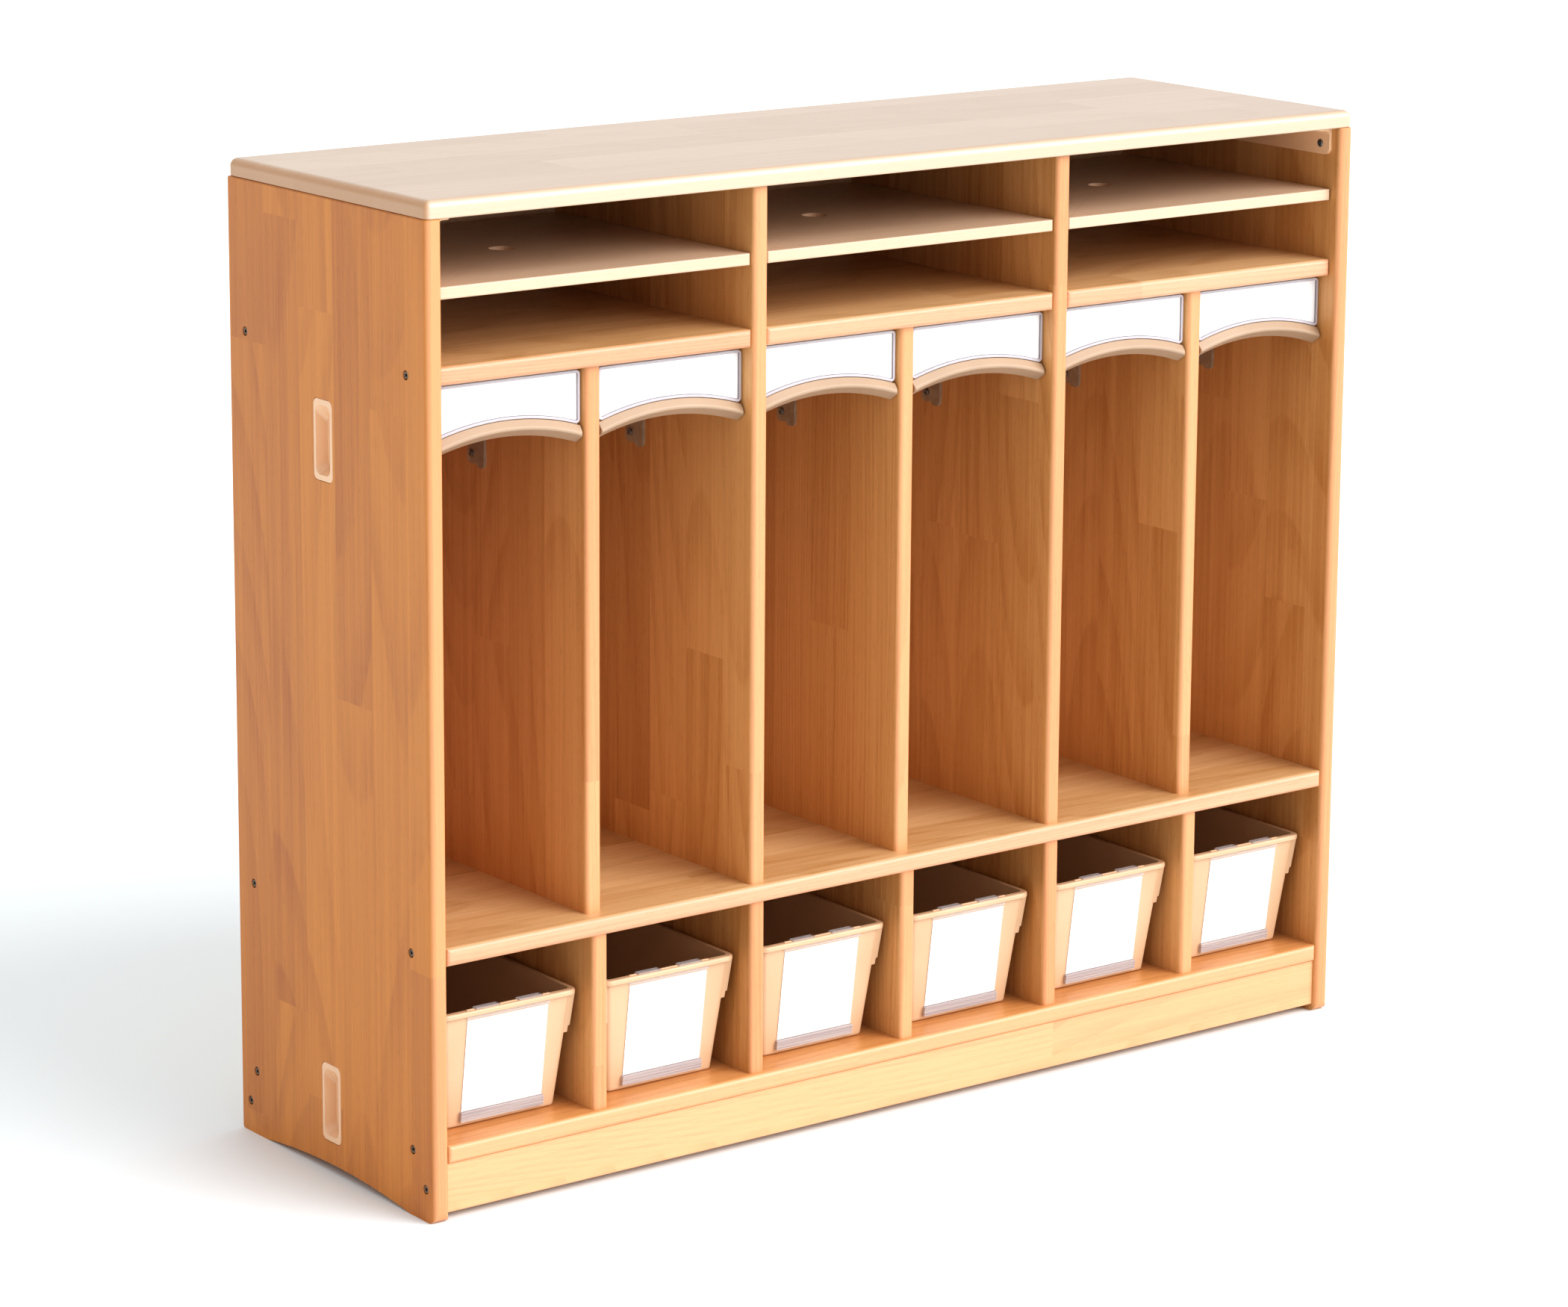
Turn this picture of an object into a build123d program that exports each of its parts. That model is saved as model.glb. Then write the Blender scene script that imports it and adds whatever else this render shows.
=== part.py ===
"""Six-place wooden coat and cubby locker, with a slide-out bin under each place.

X runs along the width, -Y is the front, +Z is up.  The origin is the middle of the footprint on the floor.
All sizes are in millimetres.
"""
from build123d import *
from math import atan2, cos, hypot, sin
import os

os.makedirs("parts", exist_ok=True)

# ---------------------------------------------------------------- overall sizes
WIDTH = 1220.0
DEPTH = 375.0
HEIGHT = 1040.0
BOARD = 19.0                          # every solid-wood board
BAYS = 3
PLACES_PER_BAY = 2

FRONT = -DEPTH / 2
SIDE_TOP = HEIGHT - BOARD             # the top panel lies on the side panels
INNER = WIDTH / 2 - BOARD             # inner face of the side panels
BAY_WIDTH = (2 * INNER - (BAYS - 1) * BOARD) / BAYS
PLACE_WIDTH = (BAY_WIDTH - (PLACES_PER_BAY - 1) * BOARD) / PLACES_PER_BAY

# undersides of the fixed and loose boards
PLINTH_Z = 8.0
BOTTOM_SHELF_Z = 60.5
MAIN_SHELF_Z = 267.0
COAT_SHELF_Z = 854.5
UPPER_SHELF_Z = 939.5
UPPER_SHELF_T = 12.5

# front edges, measured from the front of the side panels
SHELF_Y = FRONT + 1.5
PLINTH_Y = FRONT + 6.0
BIN_DIVIDER_Y = FRONT + 8.5
DIVIDER_Y = FRONT + 9.0
COAT_SHELF_Y = FRONT + 11.0
UPPER_SHELF_Y = FRONT + 13.0
HALF_DIVIDER_Y = FRONT + 20.0

BACK_PANEL_Y = FRONT + 367.0          # the boards stop at its front face
BACK_PANEL_T = 6.0
UPPER_SHELF_BACK = FRONT + 355.0

SIDE_ROUND = 6.0                      # rounding of the front edges of each kind of board
DIVIDER_ROUND = 5.0
SHELF_ROUND = 4.5
TOP_ROUND = 8.0
TOP_CORNER_ROUND = 6.0
TOP_INSET = 1.0                       # the top panel is a hair smaller than the carcass
UNDER_EDGE_ROUND = 2.0                # rounding of the top panel's lower edge and the sides' back edges
UPPER_SHELF_ROUND = 1.6
SIDE_TOP_CHAMFER = 1.2
PLINTH_CHAMFER = 1.0

# each loose upper shelf has play at its ends, and a finger hole in its middle
UPPER_SHELF_GAP = 1.5
FINGER_HOLE_R = 13.0
FINGER_HOLE_CHAMFER = 0.8

# pins that carry the loose upper shelves
PIN_R = 2.5
PIN_CLEARANCE = 0.1
PIN_REACH = 9.0                       # how far a pin goes into the wood, and out of it
PIN_PLAY = 0.3                        # between the pins and the shelf
PIN_YS = (UPPER_SHELF_Y + 60.0, UPPER_SHELF_BACK - 60.0)
PIN_Z = UPPER_SHELF_Z - PIN_PLAY - PIN_R

# shallow cut-out under each side panel
ARCH_FRONT = FRONT + 44.0
ARCH_BACK = FRONT + 327.0
ARCH_RISE = 9.5
FOOT_FRONT_ROUND = 11.0
FOOT_BACK_ROUND = 6.0

# every screw's head, as shares of its radius and height
HEAD_CHAMFER = 0.3
SOCKET_R = 0.45
SOCKET_DEPTH = 0.6

# carcass screws through the side panels
HEAD_R = 4.4
HEAD_H = 2.6
SHANK_R = 2.25
SCREW_CLEARANCE = 0.1
RECESS_R = 5.0
RECESS_DEPTH = 3.4
SIDE_SCREW_LENGTH = 45.0
SIDE_SCREW_YS = (FRONT + 39.0, FRONT + 344.0)
PLINTH_SCREW_YS = (PLINTH_Y + BOARD / 2, BACK_PANEL_Y - BOARD / 2)

# small screws for the plastic fittings
SMALL_HEAD_R = 4.0
SMALL_HEAD_H = 2.2
SMALL_SHANK_R = 1.75
SMALL_LENGTH = 16.0

# screws of the back panel, whose heads sit half way into it
BACK_HEAD_SINK = 1.2
BACK_HEAD_CLEARANCE = 0.4
BACK_SCREW_ZS = (BOTTOM_SHELF_Z + BOARD / 2, MAIN_SHELF_Z + BOARD / 2, COAT_SHELF_Z + BOARD / 2)

# moulded cups let into the side panels, which link one unit to the next
CUP_Y = FRONT + 194.5
CUP_ZS = (75.5, 774.0)
CUP_RIM = (36.0, 84.0)
CUP_RIM_T = 1.6
CUP_RIM_ROUND = 7.0
CUP_BODY = (31.0, 76.0)
CUP_BODY_ROUND = 10.0
CUP_DEPTH = 14.0
CUP_WALL = 2.0
CUP_GAP = 0.3
CUP_EDGE = 0.5
CUP_FLOOR = (21.0, 52.0)
CUP_FLOOR_ROUND = 8.0
CUP_FLOOR_DROP = 4.0                  # the pocket's floor lies lower than its mouth

# moulded angles that tie the top panel to the side panels
BRACKET_T = 3.5
BRACKET_DROP = 31.0
BRACKET_REACH = 20.0
BRACKET_FRONT = FRONT + 14.0
BRACKET_BACK = FRONT + 350.0
BRACKET_LOWER_ROUND = 8.0
BRACKET_FLANGE_ROUND = 7.0
BRACKET_INNER_ROUND = 6.0
BRACKET_SCREW_Z = SIDE_TOP - 19.0
BRACKET_SCREW_YS = (FRONT + 29.0, FRONT + 182.0, FRONT + 335.0)
BRACKET_HEAD_SINK = 1.4
BRACKET_HEAD_CLEARANCE = 0.6
BRACKET_TOP_YS = (FRONT + 80.0, FRONT + 284.0)
BRACKET_TOP_X = -INNER + 14.8

# rounded name panels over each place
RAIL_R = 286.0                        # top of the arched rail
RAIL_DROP = 18.0                      # radial height of the rail
RAIL_TOP_Z = 809.0
RAIL_NOSE_Y = FRONT + 20.0
WINDOW_Y = FRONT + 27.0
WINDOW_TOP = 850.5
WINDOW_T = 4.0
WINDOW_RIM = 2.6
PANE_T = 1.2
CARD_T = 0.6
NAME_SIDE_GAP = 2.0
NAME_HALF = PLACE_WIDTH / 2 - NAME_SIDE_GAP
NAME_CORNER_ROUND = 4.0
BACKING_Y = FRONT + 31.5
BACKING_T = 2.5
BACKING_UNDERLAP = 8.0                # how far the backing reaches down behind the rail
RAIL_CENTRE_Z = RAIL_TOP_Z - RAIL_R
RAIL_SWING = 21.0                     # half the rail's arc, in degrees, before its ends are trimmed
RAIL_NOSE_ROUND = 3.0
EAR_Z = 828.0                         # an ear at each end takes the rail's screws
EAR_T = 2.5
EAR_LENGTH = 30.0
EAR_HALF = 12.0
EAR_ROUND = 6.0
EAR_SCREW_Y = BACKING_Y + 20.0
PILOT_START = 4.0                     # the rail's pilot holes start this far inside its ends

# clear coat hooks on the right wall of each place
HOOK_Y = FRONT + 216.5
HOOK_BOTTOM = 720.0
HOOK_TOP = 790.0
HOOK_SCREW = (FRONT + 223.0, 734.0)
HOOK_PLATE_T = 3.0
HOOK_LOBE_ROUND = 6.0
HOOK_FRONT_LOBE = (HOOK_Y - 8.0, 15.8)        # middle and width of each lobe
HOOK_BACK_LOBE = (HOOK_Y + 7.5, 17.0)
HOOK_BACK_LOBE_RISE = 3.0                     # the back lobe starts higher than the front one
HOOK_ARM_PATH = ((-1.0, 764.0), (-30.0, 760.0), (-37.0, 790.0))
HOOK_ARM_BEND = 12.0
HOOK_ARM_T = 7.0
HOOK_ARM_WIDTH = 12.0

# bins
BIN_FLOOR = BOTTOM_SHELF_Z + BOARD + 0.3
BIN_TOP = 207.8
BIN_WALL = 2.5
BIN_FACE_TOP_Y = FRONT + 28.5         # front face under the rim
BIN_LEAN = 17.0                       # the front and back lean in by this much at the base
BIN_BACK_TOP_Y = FRONT + 337.5
BIN_HALF_TOP = 80.0
BIN_TAPER = 12.0
BIN_RIM_OUT = 5.0
BIN_RIM_H = 6.3
BIN_RIM_ROUND = 2.4
BIN_RIM_UNDER_ROUND = 1.8
BIN_CORNER_LOW = 7.0                  # corner radii of the tub at its floor, at its top, and of its rim
BIN_CORNER_TOP = 7.5
BIN_CORNER_RIM = 11.5
BIN_FOOT_ROUND = 4.0
BIN_INSIDE_ROUND = 3.0

# stacking lugs under the rim at the corners of the bin, each of two layers that follow the leaning walls
LUG_LAYERS = ((BIN_RIM_OUT - 0.8, 36.0), (BIN_RIM_OUT - 2.8, 43.0))    # reach outside the wall, and drop
LUG_IN = 5.0
LUG_SETBACK = 1.5                     # from the end of the bin
LUG_LENGTH = 22.0
LUG_LAP = 1.0
LUG_ROUND = 0.9

# label holder on the bin's front face
LABEL_W = 101.0
LABEL_H = 116.5
LABEL_SHEET = 1.2
LABEL_GAP = 1.0
STRIP_H = 10.5
STRIP_T = 4.0
STRIP_END = 1.5                       # plain ends of the ribbed strip
RIBS = 3
RIB_PITCH = 3.0
RIB_WIDTH = 1.3
RIB_DEPTH = 0.7
RIB_START = 1.6
TAB_W = 28.0
TAB_X = 26.0
TAB_DROP = 7.0                        # how far a tab reaches down inside the rim
TAB_CLEARANCE = 0.3
TAB_INSIDE_GAP = 1.4
STOP_DEPTH = 3.0
STOP_RISE = 0.9
STOP_HALF = 4.5
STOP_GAP = 1.5
BIN_CARD_T = 0.5
BIN_CARD_TOP = 5.0


# ---------------------------------------------------------------- places along the width
def bay_left(bay):
    return -INNER + bay * (BAY_WIDTH + BOARD)


def place_left(bay, place):
    return bay_left(bay) + place * (PLACE_WIDTH + BOARD)


PLACES = [place_left(bay, place) for bay in range(BAYS) for place in range(PLACES_PER_BAY)]
PLACE_CENTRES = [left + PLACE_WIDTH / 2 for left in PLACES]
HALF_DIVIDERS = [bay_left(bay) + PLACE_WIDTH for bay in range(BAYS)]
DIVIDERS = [bay_left(bay) + BAY_WIDTH for bay in range(BAYS - 1)]
BACK_SCREWS = [(x, z) for z in BACK_SCREW_ZS for x in PLACE_CENTRES]


# ---------------------------------------------------------------- helpers
def block(x, y, z):
    """A box given by its low and high value on each axis."""
    centre = [(low + high) / 2 for low, high in (x, y, z)]
    sizes = [high - low for low, high in (x, y, z)]
    return Pos(*centre) * Box(*sizes)


def rod(radius, start, direction, length):
    """A round bar from start along direction."""
    return extrude(Plane(origin=start, z_dir=direction) * Circle(radius), length)


def save(name, shape):
    """Write one sub-part; a list of loose solids is one group."""
    if isinstance(shape, list):
        shape = Compound(children=shape)
    export_step(shape, f"parts/{name}.step")


def screw(start, direction, head_r, head_h, shank_r, length):
    """A pan-head screw with a six-sided socket; start is the middle of its outer face."""
    head = Pos(0, 0, head_h / 2) * Cylinder(head_r, head_h)
    head = chamfer(head.edges().sort_by(Axis.Z)[0], head_h * HEAD_CHAMFER)
    shank = Pos(0, 0, length / 2) * Cylinder(shank_r, length)
    socket = extrude(RegularPolygon(head_r * SOCKET_R, 6), head_h * SOCKET_DEPTH)
    return Plane(origin=start, z_dir=direction).location * (head + shank - socket)


def small_screw(start, direction):
    return screw(start, direction, SMALL_HEAD_R, SMALL_HEAD_H, SMALL_SHANK_R, SMALL_LENGTH)


def small_pilot(start, direction):
    """The hole that a small screw's shank sits in."""
    return rod(SMALL_SHANK_R + SCREW_CLEARANCE, start, direction, SMALL_LENGTH + 1)


# ---------------------------------------------------------------- fastener positions
def side_screw_points():
    """(y, z) of each screw through a side panel."""
    points = []
    for shelf_z in (BOTTOM_SHELF_Z, MAIN_SHELF_Z, COAT_SHELF_Z):
        points += [(y, shelf_z + BOARD / 2) for y in SIDE_SCREW_YS]
    plinth_mid = (PLINTH_Z + BOTTOM_SHELF_Z) / 2
    points += [(y, plinth_mid) for y in PLINTH_SCREW_YS]
    return points


def side_screw_holes():
    """Shank holes of the left and right screws, for the boards that they hold."""
    radius = SHANK_R + SCREW_CLEARANCE
    length = SIDE_SCREW_LENGTH + 2
    return [rod(radius, (side * WIDTH / 2, y, z), (-side, 0, 0), length)
            for y, z in side_screw_points() for side in (-1, 1)]


def shelf_pin_sites():
    """(x of the wall, direction into the bay, y) of each shelf pin."""
    sites = []
    for bay in range(BAYS):
        left = bay_left(bay)
        for y in PIN_YS:
            sites.append((left, 1, y))
            sites.append((left + BAY_WIDTH, -1, y))
    return sites


def pin_hole(x, inward, y):
    return rod(PIN_R + PIN_CLEARANCE, (x + inward, y, PIN_Z), (-inward, 0, 0), PIN_REACH + 2)


def cut_pin_holes(board, low, high):
    """Drill a board for the shelf pins whose walls lie between low and high."""
    for x, inward, y in shelf_pin_sites():
        if low - 0.01 <= x <= high + 0.01:
            board -= pin_hole(x, inward, y)
    return board


# ---------------------------------------------------------------- carcass boards
def side_outline():
    """Side panel seen from the side: a board with rounded feet and a shallow arch between them."""
    outline = Pos(0, SIDE_TOP / 2) * Rectangle(DEPTH, SIDE_TOP)
    feet = outline.vertices().group_by(Axis.Y)[0].sort_by(Axis.X)
    outline = fillet(feet[0], FOOT_FRONT_ROUND)
    back_foot = outline.vertices().group_by(Axis.Y)[0].sort_by(Axis.X)[-1]
    outline = fillet(back_foot, FOOT_BACK_ROUND)
    half = (ARCH_BACK - ARCH_FRONT) / 2
    radius = (half ** 2 + ARCH_RISE ** 2) / (2 * ARCH_RISE)
    outline -= Pos((ARCH_FRONT + ARCH_BACK) / 2, ARCH_RISE - radius) * Circle(radius)
    return outline


def cup_cutter():
    """Blind pocket in the left panel for one cup, around the cup's own axis."""
    rim = RectangleRounded(CUP_RIM[0] + 2 * CUP_GAP, CUP_RIM[1] + 2 * CUP_GAP, CUP_RIM_ROUND + CUP_GAP)
    body = RectangleRounded(CUP_BODY[0] + 2 * CUP_GAP, CUP_BODY[1] + 2 * CUP_GAP, CUP_BODY_ROUND + CUP_GAP)
    return extrude(rim, CUP_RIM_T + 0.2) + extrude(body, CUP_DEPTH + CUP_GAP + 0.2)


def cup_plane(z):
    """Outer face of the left panel at a cup, with local z into the wood and local y up."""
    return Plane(origin=(-WIDTH / 2, CUP_Y, z), x_dir=(0, 1, 0), z_dir=(1, 0, 0))


def make_side_panel():
    """Left side panel."""
    panel = block((-WIDTH / 2, -INNER), (FRONT, -FRONT), (0, SIDE_TOP))
    uprights = panel.edges().filter_by(Axis.Z).group_by(Axis.Y)
    panel = fillet(uprights[0], SIDE_ROUND)
    panel = fillet(panel.edges().filter_by(Axis.Z).group_by(Axis.Y)[-1], UNDER_EDGE_ROUND)
    panel = chamfer(panel.edges().group_by(Axis.Z)[-1], SIDE_TOP_CHAMFER)
    panel &= extrude(Plane.YZ * side_outline(), WIDTH / 2, both=True)
    for y, z in side_screw_points():
        panel -= rod(RECESS_R, (-WIDTH / 2 - 1, y, z), (1, 0, 0), RECESS_DEPTH + 1)
        panel -= rod(SHANK_R + SCREW_CLEARANCE, (-WIDTH / 2, y, z), (1, 0, 0), BOARD + 1)
    for z in CUP_ZS:
        panel -= cup_plane(z).location * cup_cutter()
    for y in BRACKET_SCREW_YS:
        panel -= small_pilot((-INNER + BRACKET_T, y, BRACKET_SCREW_Z), (-1, 0, 0))
    return cut_pin_holes(panel, -WIDTH / 2, -INNER)


def make_top_panel():
    half_width = WIDTH / 2 - TOP_INSET
    half_depth = DEPTH / 2 - TOP_INSET
    top = block((-half_width, half_width), (-half_depth, half_depth), (SIDE_TOP, HEIGHT))
    top = fillet(top.edges().filter_by(Axis.Z), TOP_CORNER_ROUND)
    top = fillet(top.edges().group_by(Axis.Z)[-1], TOP_ROUND)
    return fillet(top.edges().group_by(Axis.Z)[0], UNDER_EDGE_ROUND)


def make_shelf(x, y, z):
    """A board whose front face is rounded on all four sides."""
    shelf = block(x, y, z)
    return fillet(shelf.faces().sort_by(Axis.Y)[0].edges(), SHELF_ROUND)


def make_divider(left, y, z):
    divider = block((left, left + BOARD), (y, BACK_PANEL_Y), z)
    return fillet(divider.edges().filter_by(Axis.Z).group_by(Axis.Y)[0], DIVIDER_ROUND)


def make_upper_shelf(bay):
    """Loose shelf with a finger hole for lifting it out."""
    left = bay_left(bay) + UPPER_SHELF_GAP
    right = left + BAY_WIDTH - 2 * UPPER_SHELF_GAP
    top = UPPER_SHELF_Z + UPPER_SHELF_T
    shelf = block((left, right), (UPPER_SHELF_Y, UPPER_SHELF_BACK), (UPPER_SHELF_Z, top))
    shelf = fillet(shelf.faces().sort_by(Axis.Y)[0].edges(), UPPER_SHELF_ROUND)
    middle = ((left + right) / 2, (UPPER_SHELF_Y + UPPER_SHELF_BACK) / 2)
    shelf -= rod(FINGER_HOLE_R, (*middle, UPPER_SHELF_Z - 1), (0, 0, 1), UPPER_SHELF_T + 2)
    rounds = shelf.edges().filter_by(GeomType.CIRCLE)
    return chamfer(rounds.filter_by(lambda edge: edge.radius > FINGER_HOLE_R - 1), FINGER_HOLE_CHAMFER)


def make_back_panel():
    panel = block((-INNER, INNER), (BACK_PANEL_Y, BACK_PANEL_Y + BACK_PANEL_T), (BOTTOM_SHELF_Z, SIDE_TOP))
    outside = BACK_PANEL_Y + BACK_PANEL_T
    for x, z in BACK_SCREWS:
        head_seat = (x, outside - BACK_HEAD_SINK, z)
        panel -= rod(SMALL_HEAD_R + BACK_HEAD_CLEARANCE, head_seat, (0, 1, 0), BACK_HEAD_SINK + 1)
        panel -= small_pilot((x, outside, z), (0, -1, 0))
    return panel


# ---------------------------------------------------------------- cups and brackets
def make_cup(z):
    """One moulded cup: a thin rim, and a scooped pocket that narrows towards its floor."""
    body = extrude(RectangleRounded(*CUP_RIM, CUP_RIM_ROUND), CUP_RIM_T)
    body = chamfer(body.edges().group_by(Axis.Z)[0], CUP_EDGE)
    body += extrude(RectangleRounded(*CUP_BODY, CUP_BODY_ROUND), CUP_DEPTH)
    mouth_width, mouth_height = (size - 2 * CUP_WALL for size in CUP_BODY)
    mouth = RectangleRounded(mouth_width, mouth_height, CUP_BODY_ROUND - CUP_WALL)
    floor = Pos(0, -CUP_FLOOR_DROP, CUP_DEPTH - CUP_WALL) * RectangleRounded(*CUP_FLOOR, CUP_FLOOR_ROUND)
    body -= loft([Pos(0, 0, -0.01) * mouth, floor])
    return cup_plane(z).location * body


def make_bracket():
    """Left moulded angle that ties the top panel to the side panel."""
    wall = (-INNER, -INNER + BRACKET_T)
    length = (BRACKET_FRONT, BRACKET_BACK)
    upright = block(wall, length, (SIDE_TOP - BRACKET_DROP, SIDE_TOP))
    upright = fillet(upright.edges().filter_by(Axis.X).group_by(Axis.Z)[0], BRACKET_LOWER_ROUND)
    flange = block((-INNER, -INNER + BRACKET_REACH), length, (SIDE_TOP - BRACKET_T, SIDE_TOP))
    flange = fillet(flange.edges().filter_by(Axis.Z).group_by(Axis.X)[-1], BRACKET_FLANGE_ROUND)
    bracket = upright + flange
    corner_x = -INNER + BRACKET_T
    corner_z = SIDE_TOP - BRACKET_T
    lengthwise = bracket.edges().filter_by(Axis.Y)
    inner_corner = lengthwise.sort_by(
        lambda edge: hypot(edge.center().X - corner_x, edge.center().Z - corner_z))[0]
    bracket = fillet(inner_corner, BRACKET_INNER_ROUND)
    for y in BRACKET_SCREW_YS:
        head_seat = (corner_x - BRACKET_HEAD_SINK, y, BRACKET_SCREW_Z)
        bracket -= rod(SMALL_HEAD_R + BRACKET_HEAD_CLEARANCE, head_seat, (1, 0, 0), BRACKET_INNER_ROUND + 2)
        bracket -= small_pilot((corner_x, y, BRACKET_SCREW_Z), (-1, 0, 0))
    for y in BRACKET_TOP_YS:
        bracket -= small_pilot((BRACKET_TOP_X, y, SIDE_TOP - BRACKET_T - 1), (0, 0, 1))
    return bracket


def bracket_screws():
    """Screws of the left bracket, into the side panel and up into the top."""
    wall_head_x = -INNER + BRACKET_T - BRACKET_HEAD_SINK + SMALL_HEAD_H
    screws = [small_screw((wall_head_x, y, BRACKET_SCREW_Z), (-1, 0, 0)) for y in BRACKET_SCREW_YS]
    screws += [small_screw((BRACKET_TOP_X, y, SIDE_TOP - BRACKET_T - SMALL_HEAD_H), (0, 0, 1))
               for y in BRACKET_TOP_YS]
    return screws


# ---------------------------------------------------------------- name panels and hooks
def arch_field(radius, top):
    """Front view of everything over an arc and under a level top, between the side gaps of a place."""
    field = Pos(0, (RAIL_CENTRE_Z + top) / 2) * Rectangle(2 * NAME_HALF, top - RAIL_CENTRE_Z)
    return field - Pos(0, RAIL_CENTRE_Z) * Circle(radius)


def front_sheet(outline, y, thickness):
    """A flat outline in front view, made into a sheet whose front face is at y."""
    return extrude(Plane(origin=(0, y, 0), x_dir=(1, 0, 0), z_dir=(0, -1, 0)) * outline, -thickness)


def rail_profile():
    """Section of the arched rail at its middle: a nose that stands out over a slanting underside."""
    back = BACKING_Y + BACKING_T
    top = RAIL_TOP_Z - 0.6
    low = RAIL_TOP_Z - RAIL_DROP
    lip_front = RAIL_NOSE_Y + 14
    lip_back = RAIL_NOSE_Y + 18
    points = [(back, top), (WINDOW_Y, top), (RAIL_NOSE_Y, top - 8.5), (lip_front, low),
              (lip_back, low), (lip_back, low + 3), (back, low + 8)]
    face = make_face(Polyline(*points, close=True))
    face = fillet(face.vertices().sort_by(Axis.X)[0], RAIL_NOSE_ROUND)
    return Plane.YZ * face


def make_name_rail():
    """Arched rail with the backing that holds the card, and an ear at each end for its screw."""
    axis = Axis((0, 0, RAIL_CENTRE_Z), (0, 1, 0))
    rail = revolve(rail_profile().rotate(axis, -RAIL_SWING), axis, 2 * RAIL_SWING)
    trim = Pos(0, BACKING_Y) * Rectangle(2 * NAME_HALF, 2 * (BACKING_Y - RAIL_NOSE_Y))
    trim = fillet(trim.vertices().group_by(Axis.Y)[0], NAME_CORNER_ROUND)
    rail &= extrude(trim, HEIGHT)
    field = arch_field(RAIL_R - BACKING_UNDERLAP, COAT_SHELF_Z - 0.5)
    rail += front_sheet(field, BACKING_Y, BACKING_T)
    for side in (-1, 1):
        wall = sorted((side * NAME_HALF, side * (NAME_HALF - EAR_T)))
        ear = block(wall, (BACKING_Y, BACKING_Y + EAR_LENGTH), (EAR_Z - EAR_HALF, EAR_Z + EAR_HALF))
        ear = fillet(ear.edges().filter_by(Axis.X).group_by(Axis.Y)[-1], EAR_ROUND)
        rail += ear
    return rail - ear_pilots(0)


def ear_pilots(x):
    """Holes for the screws through both ears of the rail in the place whose middle is x."""
    return [small_pilot((x + side * (NAME_HALF - PILOT_START), EAR_SCREW_Y, EAR_Z), (side, 0, 0))
            for side in (-1, 1)]


def window_outline():
    outline = arch_field(RAIL_R + 0.4, WINDOW_TOP)
    return fillet(outline.vertices(), NAME_CORNER_ROUND)


def make_name_window():
    """Clear window: a thin pane in a raised rim."""
    outline = window_outline()
    inside = offset(outline, -WINDOW_RIM)
    pane = front_sheet(inside, WINDOW_Y + 0.6, PANE_T)
    return front_sheet(outline - inside, WINDOW_Y, WINDOW_T) + pane


def make_name_card():
    return front_sheet(offset(window_outline(), -WINDOW_RIM - 0.3), WINDOW_Y + 2.2, CARD_T)


def make_coat_hook(wall_x):
    """Clear hook: a two-lobed plate on the wall, and an arm that turns up at its end."""
    wall = Plane(origin=(wall_x, 0, 0), x_dir=(0, 1, 0), z_dir=(1, 0, 0))
    lobes = []
    lows = (HOOK_BOTTOM, HOOK_BOTTOM + HOOK_BACK_LOBE_RISE)
    for (y, width), low in zip((HOOK_FRONT_LOBE, HOOK_BACK_LOBE), lows):
        lobe = RectangleRounded(width, HOOK_TOP - low, HOOK_LOBE_ROUND)
        lobes.append(Pos(y, (low + HOOK_TOP) / 2) * lobe)
    plate = extrude(wall * (lobes[0] + lobes[1]), -HOOK_PLATE_T)
    line = FilletPolyline(*HOOK_ARM_PATH, radius=HOOK_ARM_BEND)
    arm_back = HOOK_FRONT_LOBE[0] + HOOK_ARM_WIDTH / 2
    side_view = Plane(origin=(wall_x, arm_back, 0), x_dir=(1, 0, 0), z_dir=(0, -1, 0))
    arm = extrude(side_view * trace(line, HOOK_ARM_T), HOOK_ARM_WIDTH)
    return plate + arm - hook_pilot(wall_x)


def hook_pilot(wall_x):
    return small_pilot((wall_x - 2 * HOOK_PLATE_T, *HOOK_SCREW), (1, 0, 0))


def rail_pilots():
    """Holes in the walls for the screws of the name rails' ears."""
    return [pilot for x in PLACE_CENTRES for pilot in ear_pilots(x)]


def hook_pilots():
    """Holes in the walls for the coat hooks' screws."""
    return [hook_pilot(left + PLACE_WIDTH) for left in PLACES]


# ---------------------------------------------------------------- bins
BIN_HEIGHT = BIN_TOP - BIN_FLOOR
BIN_MID_Y = (BIN_FACE_TOP_Y + BIN_BACK_TOP_Y) / 2
BIN_LENGTH = BIN_BACK_TOP_Y - BIN_FACE_TOP_Y
FACE_TILT = atan2(BIN_LEAN, BIN_HEIGHT)


def bin_section(z, inset, corner):
    """Rounded rectangle of the tapered tub at height z, drawn in by inset."""
    share = (BIN_TOP - z) / BIN_HEIGHT
    width = 2 * (BIN_HALF_TOP - BIN_TAPER * share - inset)
    length = BIN_LENGTH - 2 * (BIN_LEAN * share + inset)
    return Pos(0, BIN_MID_Y, z) * RectangleRounded(width, length, corner)


def face_plane():
    """The bin's sloping front face under the rim: local x along the bin, y up the face, z outwards."""
    return Plane(origin=(0, BIN_FACE_TOP_Y + BIN_LEAN * BIN_RIM_H / BIN_HEIGHT, BIN_TOP - BIN_RIM_H),
                 x_dir=(1, 0, 0), z_dir=(0, -cos(FACE_TILT), -sin(FACE_TILT)))


def face_block(x, up, out):
    """A box in the front face's own directions."""
    return face_plane().location * block(x, up, out)


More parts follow.
